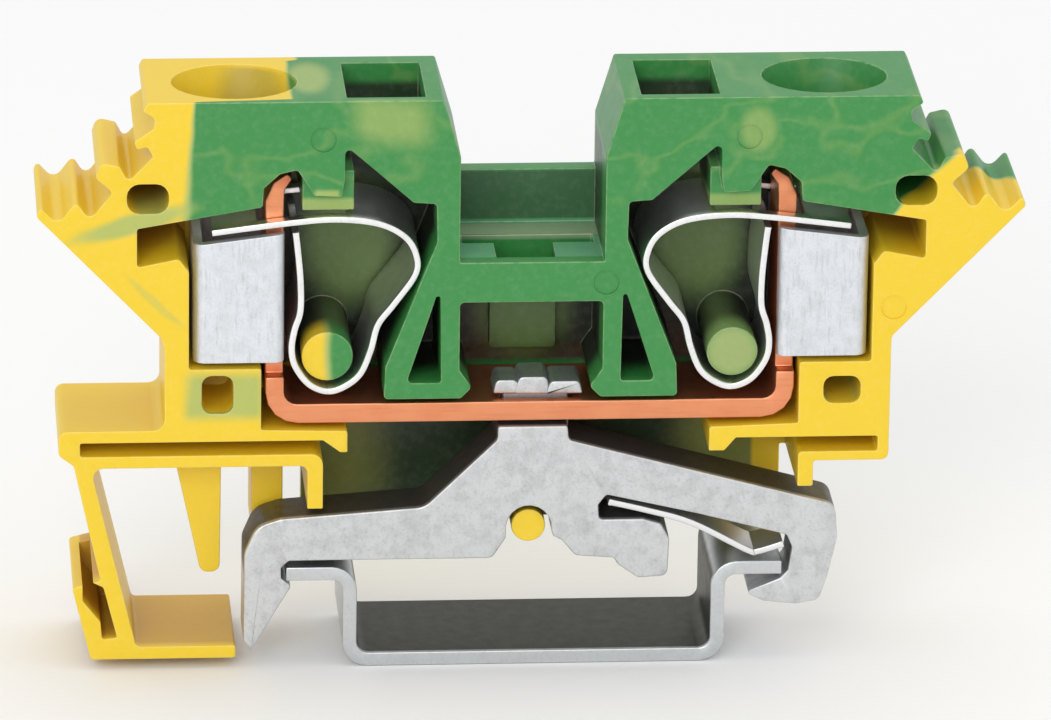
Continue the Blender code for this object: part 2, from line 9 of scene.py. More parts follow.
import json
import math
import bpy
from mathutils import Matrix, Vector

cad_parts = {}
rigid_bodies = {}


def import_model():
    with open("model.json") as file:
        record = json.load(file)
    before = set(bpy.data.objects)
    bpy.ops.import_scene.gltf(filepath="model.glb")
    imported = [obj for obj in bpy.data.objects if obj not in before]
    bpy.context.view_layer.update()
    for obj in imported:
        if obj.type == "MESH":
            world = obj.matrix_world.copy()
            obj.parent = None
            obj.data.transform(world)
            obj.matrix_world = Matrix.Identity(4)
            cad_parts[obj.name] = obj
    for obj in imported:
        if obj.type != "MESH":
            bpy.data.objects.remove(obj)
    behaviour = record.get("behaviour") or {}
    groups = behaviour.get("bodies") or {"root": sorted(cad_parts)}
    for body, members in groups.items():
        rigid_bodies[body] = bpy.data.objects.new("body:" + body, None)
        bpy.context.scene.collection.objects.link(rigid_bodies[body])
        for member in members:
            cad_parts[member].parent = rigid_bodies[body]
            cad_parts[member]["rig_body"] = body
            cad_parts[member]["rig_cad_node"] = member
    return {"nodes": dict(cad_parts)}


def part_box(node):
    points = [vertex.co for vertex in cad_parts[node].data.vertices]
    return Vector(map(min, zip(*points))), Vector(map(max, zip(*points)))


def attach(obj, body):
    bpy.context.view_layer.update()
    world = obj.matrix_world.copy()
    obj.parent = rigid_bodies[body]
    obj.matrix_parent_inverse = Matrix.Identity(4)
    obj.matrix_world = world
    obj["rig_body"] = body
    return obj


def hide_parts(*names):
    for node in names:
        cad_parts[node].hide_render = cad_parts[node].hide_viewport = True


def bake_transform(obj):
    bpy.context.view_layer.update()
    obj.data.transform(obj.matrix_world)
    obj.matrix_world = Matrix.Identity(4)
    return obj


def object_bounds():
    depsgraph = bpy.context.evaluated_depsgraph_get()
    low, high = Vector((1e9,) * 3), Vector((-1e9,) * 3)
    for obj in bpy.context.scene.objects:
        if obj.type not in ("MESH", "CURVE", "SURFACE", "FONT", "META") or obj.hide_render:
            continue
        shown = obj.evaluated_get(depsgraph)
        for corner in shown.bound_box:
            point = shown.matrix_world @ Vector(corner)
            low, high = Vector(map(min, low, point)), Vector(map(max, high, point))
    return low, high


bl_info = {
    "name": "Earth Terminal Block",
    "version": (1, 0, 0),
    "blender": (4, 5, 0),
    "location": "View3D > Sidebar > Terminal Block",
    "description": "Finishes a spring-clamp earth terminal block around its frame",
    "category": "Add Mesh",
}

import bmesh
import bpy
from bpy.props import FloatProperty, FloatVectorProperty, PointerProperty
from mathutils import Quaternion, Vector

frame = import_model()
CAD_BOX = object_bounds()

MM = 0.001
HOUSING_LOW, HOUSING_HIGH = (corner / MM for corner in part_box("housing"))
BAR_LOW, BAR_HIGH = (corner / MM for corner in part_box("current_bar"))
RAIL_LOW, RAIL_HIGH = (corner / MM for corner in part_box("rail_section"))
LEAF_LOW, LEAF_HIGH = (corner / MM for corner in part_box("foot_leaf_spring"))
MIDDLE_X = (HOUSING_LOW.x + HOUSING_HIGH.x) / 2
FRONT_Y = HOUSING_LOW.y

# Clamp springs: the middle of the strip, from the arm's end round to the leg's end
ARM_TOP = 33.2
ARM_END_U = 22.3
ARM_BEND_U = 16.7
ARM_DROP = 0.2  # from the loop's top to the bend
ARM_SLOPE = 0.125  # the arm drops this much for each millimetre outward
LOOP_BOTTOM = (-14.2, 20.5)
LEG_U = -16.725
LEG_END = 32.275  # just under the arm
WINDOW_OUT = 19.1
WINDOW_IN = 12.9
WINDOW_BOTTOM = 32.0  # the arm's steel over the window lies above this, and the leg below

# Conductor guides
GUIDE_SHEET = 0.7
GUIDE_OUT = 23.6
GUIDE_IN = 17.25
GUIDE_BEND = 0.5
GUIDE_LIP = 0.62  # rounding of the inner front edge

# Rail, with its bends measured at the sheet's middle
RAIL_SHEET = 1.0
RAIL_WEB = 13.0
RAIL_BEND = 1.3

# Rounding of cut edges
STRIP_EDGE = 0.07
GUIDE_EDGE = 0.06
RAIL_EDGE = 0.1
STRIP_SHARP = 50  # degrees past which an edge is rounded
GUIDE_SHARP = 40

# Leaf spring's middle, in X and Z
LEAF_LINE = [(5.2, 12.0), (7.8, 11.35), (11.05, 10.35), (15.0, 8.25), (15.8, 8.1), (17.6, 8.65)]

# Colour lines of the housing
TOWER_TOP = 42.0
ARM_START = 25.0  # where the right arm's colour line starts
LEFT_LINE = -23.5  # between yellow and green on the left tower
POCKET_REACH = 19.3  # from the middle to a clamp pocket's outer side

# Tones that the plastic takes in single places, and painted shade: on the step's back wall, in the
# middle under the bar, inside the left funnel and on the pockets' back wall inside the loops
PEG_TONE = (0.30, 0.39, 0.13)
STEP_WALL_SHADE = (0.04, 0.13, 0.05)
STEP_TOP = (0.10, 0.33, 0.16)
LEDGE_TONE = (0.24, 0.36, 0.20)
UNDER_SIDES = (0.22, 0.25, 0.06)
UNDER_MIDDLE_SHADE = (0.022, 0.045, 0.018)
FUNNEL_SHADE = (0.36, 0.30, 0.05)
LOOP_DIM_SHADE = (0.125, 0.20, 0.055)

# Metal's colour where it has dulled, and the near black painted as shade where it faces only dark
# recesses
DULL = (0.35, 0.36, 0.36)
PAINTED_SHADE_DARK = (0.05, 0.05, 0.04)

# Half the size of the place where a clamp spring's bow and leg meet, kept sharp
SEAM_WIDE = 0.05
SEAM_HIGH = 0.5


# ---- settings ------------------------------------------------------------------


def colour_setting(name, description, default):
    return FloatVectorProperty(name=name, description=description, subtype="COLOR", size=3,
                               min=0, max=1, default=default)


def length_setting(name, description, default):
    return FloatProperty(name=name, description=description, unit="LENGTH", min=0,
                         precision=5, default=default)


class HousingSettings(bpy.types.PropertyGroup):
    edge: length_setting("Edge", "Width of the rounding along moulded edges", 0.1 * MM)
    green: colour_setting("Green", "Main colour of the towers", (0.036, 0.238, 0.052))
    yellow: colour_setting("Yellow", "Main colour of the arms and frame", (0.80, 0.555, 0.020))
    olive: colour_setting("Olive", "Where the two colours have mixed", (0.35, 0.44, 0.12))
    # Painted shade: these two colours stand in for shade deep in recesses and clamp pockets.
    amber_shade: colour_setting("Amber", "Yellow deep in a recess", (0.50, 0.235, 0.022))
    shade: colour_setting("Shade", "Colour deep in the clamp pockets", (0.012, 0.018, 0.009))


class MetalSettings(bpy.types.PropertyGroup):
    edge: length_setting("Edge", "Width of the rounding along sheared edges", 0.12 * MM)
    copper: colour_setting("Copper", "Colour of the current bar", (0.80, 0.31, 0.155))
    plated: colour_setting("Plated steel", "Colour of the guides", (0.74, 0.76, 0.79))
    zinc: colour_setting("Zinc", "Colour of the foot", (0.66, 0.67, 0.68))
    rail: colour_setting("Rail", "Colour of the rail", (0.62, 0.64, 0.65))
    spring: colour_setting("Spring", "Colour of the springs", (0.88, 0.88, 0.87))


class SpringSettings(bpy.types.PropertyGroup):
    thickness: length_setting("Thickness", "Thickness of the clamp spring's strip", 0.45 * MM)
    window_side: length_setting("Window side", "Steel left at each side of the window", 0.9 * MM)
    leaf: length_setting("Leaf", "Thickness of the foot's leaf spring", 0.45 * MM)


class StageSettings(bpy.types.PropertyGroup):
    azimuth: FloatProperty(name="Azimuth", description="Camera's turn round the object",
                           subtype="ANGLE", default=math.radians(-4.5))
    elevation: FloatProperty(name="Elevation", description="Camera's height above the floor",
                             subtype="ANGLE", default=math.radians(20))
    distance: length_setting("Distance", "From the camera to the object", 0.66)
    view_width: length_setting("View width", "Width that the picture takes in", 74 * MM)
    roll: FloatProperty(name="Roll", description="Camera's turn about its own axis",
                        subtype="ANGLE", default=math.radians(0.8))
    floor: colour_setting("Floor", "Colour of the floor", (0.90, 0.90, 0.90))
    sky: FloatProperty(name="Sky", description="Strength of the even light", min=0, default=0.84)


class BlockSettings(bpy.types.PropertyGroup):
    housing: PointerProperty(type=HousingSettings)
    metal: PointerProperty(type=MetalSettings)
    spring: PointerProperty(type=SpringSettings)
    stage: PointerProperty(type=StageSettings)


def settings():
    return bpy.context.scene.terminal_block


# ---- shader maths --------------------------------------------------------------


class Wire:
    """A node's output that takes part in sums."""

    def __init__(self, graph, socket):
        self.graph = graph
        self.socket = socket

    def sum(self, operation, *others):
        values = dict(enumerate((self, *others)))
        return self.graph.node("ShaderNodeMath", values, operation=operation)

    def __add__(self, other):
        return self.sum("ADD", other)

    def __radd__(self, other):
        return self.sum("ADD", other)

    def __sub__(self, other):
        return self.sum("SUBTRACT", other)

    def __rsub__(self, other):
        return (self * -1).sum("ADD", other)

    def __mul__(self, other):
        return self.sum("MULTIPLY", other)

    def __rmul__(self, other):
        return self.sum("MULTIPLY", other)

    def __truediv__(self, other):
        return self.sum("DIVIDE", other)

    def __pow__(self, other):
        return self.sum("POWER", other)

    def size(self):
        return self.sum("ABSOLUTE")

    def root(self):
        return self.sum("SQRT")

    def lower(self, other):
        return self.sum("MINIMUM", other)

    def higher(self, other):
        return self.sum("MAXIMUM", other)

    def soft(self, low, high):
        """0 below low and 1 above high, smooth between; the other way round where low is higher."""
        if low > high:
            return 1 - self.soft(high, low)
        values = {"Value": self, "From Min": low, "From Max": high}
        return self.graph.node("ShaderNodeMapRange", values, interpolation_type="SMOOTHSTEP")


class Graph:
    """A material's nodes, made as its colour and finish are worked out."""

    def __init__(self, name):
        self.material = bpy.data.materials.new(name)
        self.material.use_nodes = True
        self.tree = self.material.node_tree
        self.shader = self.tree.nodes["Principled BSDF"]
        place = self.node("ShaderNodeTexCoord", output="Object")
        corner = Vector((MIDDLE_X, FRONT_Y, 0)) * MM
        from_corner = self.vector("SUBTRACT", place, corner)
        self.place = self.vector("MULTIPLY", from_corner, (1 / MM,) * 3)
        apart = self.node("ShaderNodeSeparateXYZ", {0: self.place}).socket.node
        self.u, self.depth, self.z = (Wire(self, socket) for socket in apart.outputs)

    def node(self, kind, values=None, output=0, **choices):
        """A node of this kind: its own choices are set first, then its sockets' values or links."""
        made = self.tree.nodes.new(kind)
        for name, choice in choices.items():
            setattr(made, name, choice)
        for name, value in (values or {}).items():
            if isinstance(value, Wire):
                self.tree.links.new(value.socket, made.inputs[name])
            else:
                made.inputs[name].default_value = value
        return Wire(self, made.outputs[output])

    def vector(self, operation, one, two):
        return self.node("ShaderNodeVectorMath", {0: one, 1: two}, operation=operation)

    def mix(self, factor, one, two):
        """A colour from one (factor 0) to two (factor 1)."""
        one, two = (c if isinstance(c, Wire) else (*c, 1) for c in (one, two))
        return self.node("ShaderNodeMix", {0: factor, 6: one, 7: two}, output=2, data_type="RGBA")

    def noise(self, scale, detail=2, stretch=(1, 1, 1), shift=0):
        """Noise from 0 to 1 with about this many features in a millimetre."""
        spread = self.vector("MULTIPLY", self.place, stretch)
        moved = self.vector("ADD", spread, (shift, shift * 0.7, -shift))
        return self.node("ShaderNodeTexNoise", {"Vector": moved, "Scale": scale, "Detail": detail})

    def blob(self, u, z, half_u, half_z, place=None):
        """1 in the middle of an upright ellipse, falling softly to 0 at its edge."""
        across, high = place or (self.u, self.z)
        reach = ((((across - u) / half_u) ** 2) + (((high - z) / half_z) ** 2)).root()
        return reach.soft(1, 0.45)

    def patch(self, low_u, high_u, low_z, high_z, blur=0.5, place=None):
        """1 inside an upright rectangle, falling softly to 0 at its sides."""
        across, high = place or (self.u, self.z)
        wide = across.soft(low_u, low_u + blur) * across.soft(high_u, high_u - blur)
        return wide * high.soft(low_z, low_z + blur) * high.soft(high_z, high_z - blur)

    def wear_and_highlight(self):
        """1 along the middle of a rounded edge, broken up as wear is; the materials lighten these
        edges, as wear and as a painted highlight.
        """
        edge = self.node("ShaderNodeAttribute", output="Fac", attribute_name="edge")
        return edge * self.noise(1.4, 3, shift=5).soft(0.25, 0.6)

    def bump(self, height, strength, distance):
        """Height from 0 to 1, over this distance in millimetres, raised from the surface."""
        return self.node("ShaderNodeBump", {"Height": height, "Strength": strength,
                                            "Distance": distance * MM})

    def finish(self, metallic, **varying):
        """Links what varies over the surface and returns the material."""
        self.shader.inputs["Metallic"].default_value = metallic
        for name, wire in varying.items():
            self.tree.links.new(wire.socket, self.shader.inputs[name.replace("_", " ").title()])
        return self.material


# ---- materials -----------------------------------------------------------------


def yellow_share(g, u, z):
    """Where the polyamide is yellow (1) and where it is green (0)."""
    fall = (TOWER_TOP - z).higher(0)
    skin = g.depth.soft(0.7, 0.15).higher(g.z.soft(38, 37.3))  # the line lies further in under it
    line = (1 - skin) * 6.6 + LEFT_LINE - fall * fall * 0.011
    left = ((u - line) / (fall * 0.06 + 0.25)).soft(1, -1)
    low_left = z.soft(33.8, 32.6) * u.soft(-13.6, -14.8)
    arm_line = ((u - ARM_START) * 1.05 + 33.1).lower(38.1 - (u - 29.6) * 0.5)
    sunk = (g.depth - 1).higher(0) * 0.55
    right_arm = (z - arm_line + sunk).soft(0.4, -0.4) * u.soft(23.8, 24.6)
    low_right = z.soft(33.2, 32.4) * u.soft(17.4, 18.2)
    inner = g.depth.soft(9.4, 9)
    bottom = (g.z * inner + z * (1 - inner)).soft(18.9, 18.5)
    return left.higher(low_left).higher(right_arm).higher(low_right).higher(bottom)


def polyamide():
    """Green and yellow polyamide that ran together as it filled the mould, with painted shade in
    its recesses and a painted highlight along its edges.
    """
    look = settings().housing
    g = Graph("green_yellow_polyamide")
    front = g.depth.soft(0.6, 0.2)
    inside = g.depth.soft(9.4, 9)
    reach = (1 - inside) * 9 + 1.3  # the colours wander further over the closed side
    u = g.u + (g.noise(0.16, 2) - 0.5) * reach
    z = g.z + (g.noise(0.16, 2, shift=31) - 0.5) * reach
    share = yellow_share(g, u, z)
    blend = g.mix(share.soft(0, 0.5), look.green, look.olive)
    colour = g.mix(share.soft(0.35, 1), blend, look.yellow)

    # Pale veins and clouds in the green, and olive ones in the yellow.
    flow = g.noise(0.15, 2, stretch=(1, 0.4, 1.5), shift=11)
    vein = (flow - 0.5).size().soft(0.045, 0.0) * (1 - share) * g.z.soft(33, 36)
    olive = vein * 0.15
    for cloud in (
        # left tower's front, right tower's front, and beside the left funnel
        g.patch(-13.4, -6.2, 38.0, 43.4, 2.2, (u, z + u * 0.15 + 1.4)) * front * 0.6,
        g.blob(15.6, 39.6, 1.7, 2.2) * 0.5,
        g.blob(-15.4, 5.2, 2.2, 4.4, (u, g.depth)) * g.z.soft(41.6, 41.9) * 0.75,
        # two streaks on the left arm and the slope under it
        g.blob(-27.8, 34.3, 5.4, 1.0, (u, z - (u + 24) * 0.29)) * 0.85,
        g.blob(-26.1, 1.3, 2.4, 0.6, (u, z + u)) * 0.35,
        # the block under the left guide, and the right socket's inside
        g.patch(-24.6, -18.2, 18.2, 22.6, 1.1, (u, g.z)) * front * 0.85,
        g.patch(20.5, 23.3, 19.2, 21.4, 0.4) * (1 - front) * 0.8,
        # the left tab's end, and the pads over both clamp springs
        g.patch(-15.4, -13.3, 34.7, 35.7, 0.4) * 0.9,
        g.patch(-17.2, -11.8, 33.2, 34.8, 0.4) * 0.8,
        g.patch(11.8, 17.2, 33.2, 34.8, 0.4) * 0.6,
    ):
        olive = olive.higher(cloud * inside)
    colour = g.mix(olive, colour, look.olive)
    right_peg = g.blob(-LOOP_BOTTOM[0], 22.9, 2.6, 2.6) * inside
    colour = g.mix(right_peg, colour, PEG_TONE)

    # The step between the towers, with painted shade on its back wall, and the closed side's face
    # under the bar: olive at the sides and painted shade in the middle, beside the foot.
    between = g.u.size().soft(5.2, 5.0) * g.z.soft(29.6, 29.9) * inside
    # Painted shade: a darker green on the step's back wall.
    colour = g.mix(between * g.depth.soft(8.2, 8.5) * g.z.soft(34.0, 33.7), colour, STEP_WALL_SHADE)
    colour = g.mix(between * g.z.soft(30.4, 30.2) * g.depth.soft(1, 1.3), colour, STEP_TOP)
    ledge = between * g.z.soft(30.4, 30.2) * g.depth.soft(5.7, 5.9) * g.depth.soft(8.5, 8.2)
    colour = g.mix(ledge, colour, LEDGE_TONE)
    # Painted shade in the middle of the face under the bar, olive at its sides.
    under = g.depth.soft(7.6, 8.3) * inside * g.z.soft(18.9, 18.5) * g.z.soft(7, 7.4)
    under_tone_and_shade = g.mix(u.soft(-13, -8) * u.soft(13.5, 9), UNDER_SIDES, UNDER_MIDDLE_SHADE)
    colour = g.mix(under * g.u.size().soft(16.7, 16.3), colour, under_tone_and_shade)

    # Painted shade: recesses go orange-brown in the yellow and near black in the clamp pockets.
    deep = g.depth.soft(1.5, 8) * inside
    across = (g.u.size(), g.z)
    arm_slot = g.patch(23.8, 27.7, 29.4, 33, 0.1, across)
    label_hole = g.patch(25.1, 28.4, 33.7, 36.3, 0.1, across)
    slots = arm_slot.higher(label_hole)
    # Painted shade: orange-brown in the slots, along the bottom behind the front face and in the
    # left wing's pocket.
    amber_shade = (deep * slots * 0.8).higher(g.z.soft(3, 2.5) * g.depth.soft(0.15, 1) * 0.55)
    amber_shade = amber_shade.higher(g.patch(-31.4, -28.9, 2.2, 7.0, 0.2) * g.depth.soft(0.3, 2) * 0.7)
    colour = g.mix(amber_shade * share, colour, look.amber_shade)
    # Painted shade: olive-brown inside the left funnel.
    funnel = g.blob(-19.2, 39.4, 3.2, 4.6) * g.depth.soft(0.8, 1.2) * g.z.soft(41.9, 41.6)
    colour = g.mix(funnel * 0.6, colour, FUNNEL_SHADE)
    # Painted shade: near black low in the tool holes.
    tool_hole = g.u.size().soft(7.2, 7.6) * g.u.size().soft(13.2, 12.9) * g.z.soft(40.9, 40.2)
    tool_hole = tool_hole * g.z.soft(37, 37.6) * g.depth.soft(0.75, 1.0) * g.depth.soft(9.0, 8.7)
    colour = g.mix(tool_hole * 0.9, colour, look.shade)
    # Painted shade: near black deep in the clamp pockets, and a dim olive painted shade where the
    # loops stand.
    pocket = g.u.size().soft(POCKET_REACH, POCKET_REACH - 0.5)
    pocket = pocket * g.z.soft(19.4, 20) * g.z.soft(37.6, 37)
    saddle = g.u.size().soft(5.1, 4.9) * g.z.soft(26.5, 27)
    loop = g.blob(-12.3, 28.8, 4.4, 6.2).higher(g.blob(12.3, 28.8, 4.4, 6.2))
    loop = loop.higher(g.blob(0, 23.5, 4.4, 4.4)).higher(g.blob(-14.2, 33.9, 3.4, 0.9))
    loop = loop.higher(g.blob(14.2, 33.9, 3.4, 0.9))
    colour = g.mix(g.depth.soft(1.6, 4.5) * inside * pocket * (1 - saddle),
                   colour, g.mix(loop, look.shade, LOOP_DIM_SHADE))

    speck = g.noise(2.2, 3, shift=3)
    colour = g.mix(speck.soft(0.4, 0.8) * 0.03, colour, (0.9, 0.9, 0.8))
    # Paler edges: wear, and a painted highlight along them.
    colour = g.mix(g.wear_and_highlight() * 0.22, colour, (0.92, 0.92, 0.62))
    grain = g.noise(9, 2, shift=7)
    rough = g.noise(0.7, 2, shift=17) * 0.14 + speck * 0.08 + 0.28
    g.shader.inputs["Specular IOR Level"].default_value = 0.45
    return g.finish(0.0, base_color=colour, roughness=rough, normal=g.bump(grain, 0.25, 0.012))


def painted_shade_foot(g):
    """Painted shade on the foot's edges behind its front face, save at the stud."""
    return g.depth.soft(0.2, 0.6) * g.z.soft(18.6, 18.2) * g.z.soft(6.5, 7.5) * 0.8


def painted_shade_rail(g):
    """Painted shade on the inside of the rail's channel."""
    return (g.u + MIDDLE_X).size().soft(12.8, 12.6) * g.z.soft(0.85, 0.95) * g.depth.soft(0.1, 0.4)


def metal(name, colour, *, mottle, streak, stretch, rough, painted_shade_at=None):
    """A metal with a cloudy surface, fine drawn lines and edges brighter and smoother, as wear and
    as a painted highlight.

    Mottle, streak and rough run from 0 to 1, and stretch turns noise into lines. The last
    argument takes the graph and gives how much painted shade each place gets, from 0 to 1.
    """
    g = Graph(name)
    cloud = g.noise(1.1, 4, shift=2)
    fine = g.noise(5.5, 3, shift=9)
    lines = g.noise(3.2, 2, stretch=stretch, shift=21)
    base = g.mix(cloud.soft(0.35, 0.75) * mottle + fine.soft(0.45, 0.8) * mottle, colour, DULL)
    base = g.mix(lines.soft(0.5, 0.8) * streak, base, tuple(0.6 * c for c in DULL))
    # Brighter edges: wear, and a painted highlight along them.
    base = g.mix(g.wear_and_highlight() * 0.6, base, tuple(min(1, 1.16 * c) for c in colour))
    if painted_shade_at:
        # Painted shade: near black where the metal faces only dark recesses.
        base = g.mix(painted_shade_at(g), base, PAINTED_SHADE_DARK)
    roughness = cloud * 0.16 + fine * 0.1 + rough - g.wear_and_highlight() * 0.08
    height = fine * 0.6 + lines * 0.4
    return g.finish(1.0, base_color=base, roughness=roughness, normal=g.bump(height, 0.3, 0.015))


def copper():
    """Bare copper, darker towards the tongues' tips."""
    g = Graph("copper")
    colour = settings().metal.copper
    cloud = g.noise(0.5, 4, shift=2)
    lines = g.noise(2.6, 2, stretch=(0.12, 1, 1.6), shift=4)
    base = g.mix(cloud.soft(0.4, 0.8) * 0.25, colour, (0.62, 0.19, 0.08))
    base = g.mix(lines.soft(0.5, 0.8) * 0.22, base, (0.50, 0.14, 0.06))
    # Darker towards the tongues' tips, above 35 mm.
    tips = g.z.soft(35.0, 36.0)
    base = g.mix(tips * 0.55, base, (0.32, 0.05, 0.03))
    # Brighter edges: wear, and a painted highlight along them.
    base = g.mix(g.wear_and_highlight() * 0.5, base, (0.95, 0.50, 0.30))
    roughness = cloud * 0.2 + lines * 0.08 + 0.3
    return g.finish(1.0, base_color=base, roughness=roughness, normal=g.bump(lines, 0.2, 0.01))


# ---- modelling -----------------------------------------------------------------


def only(obj):
    """Selects this object alone and makes it the active one."""
    if bpy.context.object and bpy.context.object.mode != "OBJECT":
        bpy.ops.object.mode_set(mode="OBJECT")
    bpy.ops.object.select_all(action="DESELECT")
    obj.select_set(True)
    bpy.context.view_layer.objects.active = obj


def choose(obj, kind, test):
    """In edit mode, selects the vertices, edges or faces that pass the test, one at least."""
    bpy.ops.mesh.select_mode(type={"verts": "VERT", "edges": "EDGE", "faces": "FACE"}[kind])
    bpy.ops.mesh.select_all(action="DESELECT")
    cage = bmesh.from_edit_mesh(obj.data)
    found = [element for element in getattr(cage, kind) if test(element)]
    if not found:
        raise RuntimeError(f"{obj.name} has no {kind} to choose")
    for element in found:
        element.select_set(True)
    bmesh.update_edit_mesh(obj.data)


def apply_modifier(obj, kind, **choices):
    only(obj)
    bpy.ops.object.modifier_add(type=kind)
    modifier = obj.modifiers[-1]
    for name, choice in choices.items():
        setattr(modifier, name, choice)
    bpy.ops.object.modifier_apply(modifier=modifier.name)


def merged_copy(node, name):
    """A copy of a CAD node with its loose triangles merged and its flat faces made whole."""
    only(frame["nodes"][node])
    bpy.ops.object.duplicate()
    piece = bpy.context.object
    piece.name = name
    piece.parent = None
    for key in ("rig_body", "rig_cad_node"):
        del piece[key]
    piece.data.materials.clear()
    bpy.ops.mesh.customdata_custom_splitnormals_clear()
    bpy.ops.object.mode_set(mode="EDIT")
    bpy.ops.mesh.select_all(action="SELECT")
    bpy.ops.mesh.remove_doubles(threshold=2e-6)
    bpy.ops.mesh.dissolve_limited(angle_limit=math.radians(0.5))
    bpy.ops.object.mode_set(mode="OBJECT")
    return piece


def mark_edges(piece):
    """Keeps the middle of each rounded edge as the attribute that the materials lighten, as wear
    and as a painted highlight.
    """
    faces_at = {}
    for face in piece.data.polygons:
        for vertex in face.vertices:
            faces_at.setdefault(vertex, []).append(face.material_index)
    edge = piece.data.attributes.new("edge", "FLOAT", "POINT")
    for vertex, slots in faces_at.items():
        edge.data[vertex].value = float(min(slots) > 0)
    for face in piece.data.polygons:
        face.material_index = 0


def weigh_edges(piece, width, sharp, seam):
    """Marks the edges to round: the sharp ones, save those at the seam or beside a narrow face."""
    mesh = piece.data
    beside = {}
    for face in mesh.polygons:
        for key in face.edge_keys:
            beside.setdefault(key, []).append(face)
    lengths = {}
    for key, faces in beside.items():
        if faces[0].normal.angle(faces[-1].normal, 0) > math.radians(sharp):
            one, two = (mesh.vertices[index].co for index in key)
            at_seam = seam and all(abs(end.x - seam.x) < SEAM_WIDE * MM
                                   and abs(end.z - seam.z) < SEAM_HIGH * MM for end in (one, two))
            if not at_seam:
                lengths[key] = (one - two).length
    narrow = set()
    for face in mesh.polygons:
        crisp = sum(lengths.get(key, 0) for key in face.edge_keys)
        if face.area < 2 * width * crisp:
            narrow.update(face.edge_keys)
    weight = mesh.attributes.new("bevel_weight_edge", "FLOAT", "EDGE")
    for edge in mesh.edges:
        weight.data[edge.index].value = float(edge.key in lengths and edge.key not in narrow)


def soften(piece, width, sharp=30, seam=None):
    """Rounds the sharp edges, then evens out the shading of the flat faces beside them."""
    only(piece)
    weigh_edges(piece, width, sharp, seam)
    piece.data.materials.clear()
    for _ in range(2):
        piece.data.materials.append(None)
    apply_modifier(piece, "BEVEL", width=width, segments=2, limit_method="WEIGHT",
                   use_clamp_overlap=False, loop_slide=False, material=1,
                   miter_outer="MITER_ARC")
    mark_edges(piece)
    piece.data.materials.clear()
    apply_modifier(piece, "TRIANGULATE", min_vertices=5)
    bpy.ops.object.shade_smooth_by_angle(angle=math.radians(50))
    apply_modifier(piece, "WEIGHTED_NORMAL", keep_sharp=True, weight=80)


def smooth_line(points, steps=6):
    """A Catmull-Rom curve through points in U and Z."""
    ends = [points[0], *points, points[-1]]
    line = []
    for index in range(len(points) - 1):
        a, b, c, d = (Vector(p) for p in ends[index : index + 4])
        for step in range(steps):
            t = step / steps
            line.append(0.5 * (2 * b + (c - a) * t + (2 * a - 5 * b + 4 * c - d) * t**2
                               + (3 * b - a - 3 * c + d) * t**3))
    line.append(Vector(points[-1]))
    return line


def rounded_line(points, radii, steps=6):
    """An open line whose corners are bent to these radii."""
    line = [Vector(points[0])]
    for before, corner, after, radius in zip(points, points[1:], points[2:], radii):
        corner = Vector(corner)
        one = (Vector(before) - corner).normalized()
        two = (Vector(after) - corner).normalized()
        half = one.angle(two) / 2
        start = corner + one * radius / math.tan(half)
        end = corner + two * radius / math.tan(half)
        middle = corner + (one + two).normalized() * radius / math.sin(half)
        for step in range(steps + 1):
            spoke = (start - middle).slerp(end - middle, step / steps)
            line.append(middle + spoke * radius)
    line.append(Vector(points[-1]))
    return line


def bent_strip(name, line, across, upright=False):
    """An open surface: an edge of this length, extruded from each point of the line to the next.

    The edge lies along Y, or stands on Z where the strip is upright. The points are in
    millimetres, and so is the length.
    """
    length = across * MM
    start = line[0] * MM
    turn = (math.pi / 2, 0, 0) if upright else (0, 0, 0)
    reach = Vector((0, 0, length)) if upright else Vector((0, length, 0))
    side = Vector((length, 0, 0))
    bpy.ops.object.select_all(action="DESELECT")
    middle = start + (reach + side) / 2
    bpy.ops.mesh.primitive_plane_add(size=length, location=middle, rotation=turn)
    piece = bpy.context.object
    piece.name = name
    bpy.ops.object.transform_apply(location=True, rotation=True, scale=True)
    bpy.ops.object.mode_set(mode="EDIT")
    choose(piece, "verts", lambda v: v.co.x > start.x + length / 2)
    bpy.ops.mesh.delete(type="VERT")
    bpy.ops.mesh.select_mode(type="EDGE")
    bpy.ops.mesh.select_all(action="SELECT")
    for here, there in zip(line, line[1:]):
        bpy.ops.mesh.extrude_edges_move(TRANSFORM_OT_translate={"value": (there - here) * MM})
    bpy.ops.object.mode_set(mode="OBJECT")
    return piece


def cut_across(piece, place, normal, **clear):
    """In edit mode, cuts the whole surface with a plane through a place in millimetres."""
    bpy.ops.mesh.select_all(action="SELECT")
    bpy.ops.mesh.bisect(plane_co=Vector(place) * MM, plane_no=normal, **clear)


def point_out(piece):
    """Turns every face of a closed piece outwards."""
    only(piece)
    bpy.ops.object.mode_set(mode="EDIT")
    bpy.ops.mesh.select_all(action="SELECT")
    bpy.ops.mesh.normals_make_consistent(inside=False)
    bpy.ops.object.mode_set(mode="OBJECT")


def dress(piece, material, node):
    """Gives a piece its material and hides the CAD node that it stands for."""
    piece.data.materials.clear()
    piece.data.materials.append(material)
    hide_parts(node)


# ---- pieces --------------------------------------------------------------------


class BLOCK_OT_housing(bpy.types.Operator):
    """Makes the two-coloured housing"""

    bl_idname = "block.housing"
    bl_label = "Housing"

    def execute(self, context):
        piece = merged_copy("housing", "marbled_housing")
        soften(piece, settings().housing.edge)
        dress(piece, polyamide(), "housing")
        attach(piece, "block")
        return {"FINISHED"}


class BLOCK_OT_current_bar(bpy.types.Operator):
    """Makes the copper bar with its two tongues"""

    bl_idname = "block.current_bar"
    bl_label = "Current Bar"

    def execute(self, context):
        piece = merged_copy("current_bar", "copper_bar")
        soften(piece, settings().metal.edge)
        dress(piece, copper(), "current_bar")
        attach(piece, "block")
        return {"FINISHED"}


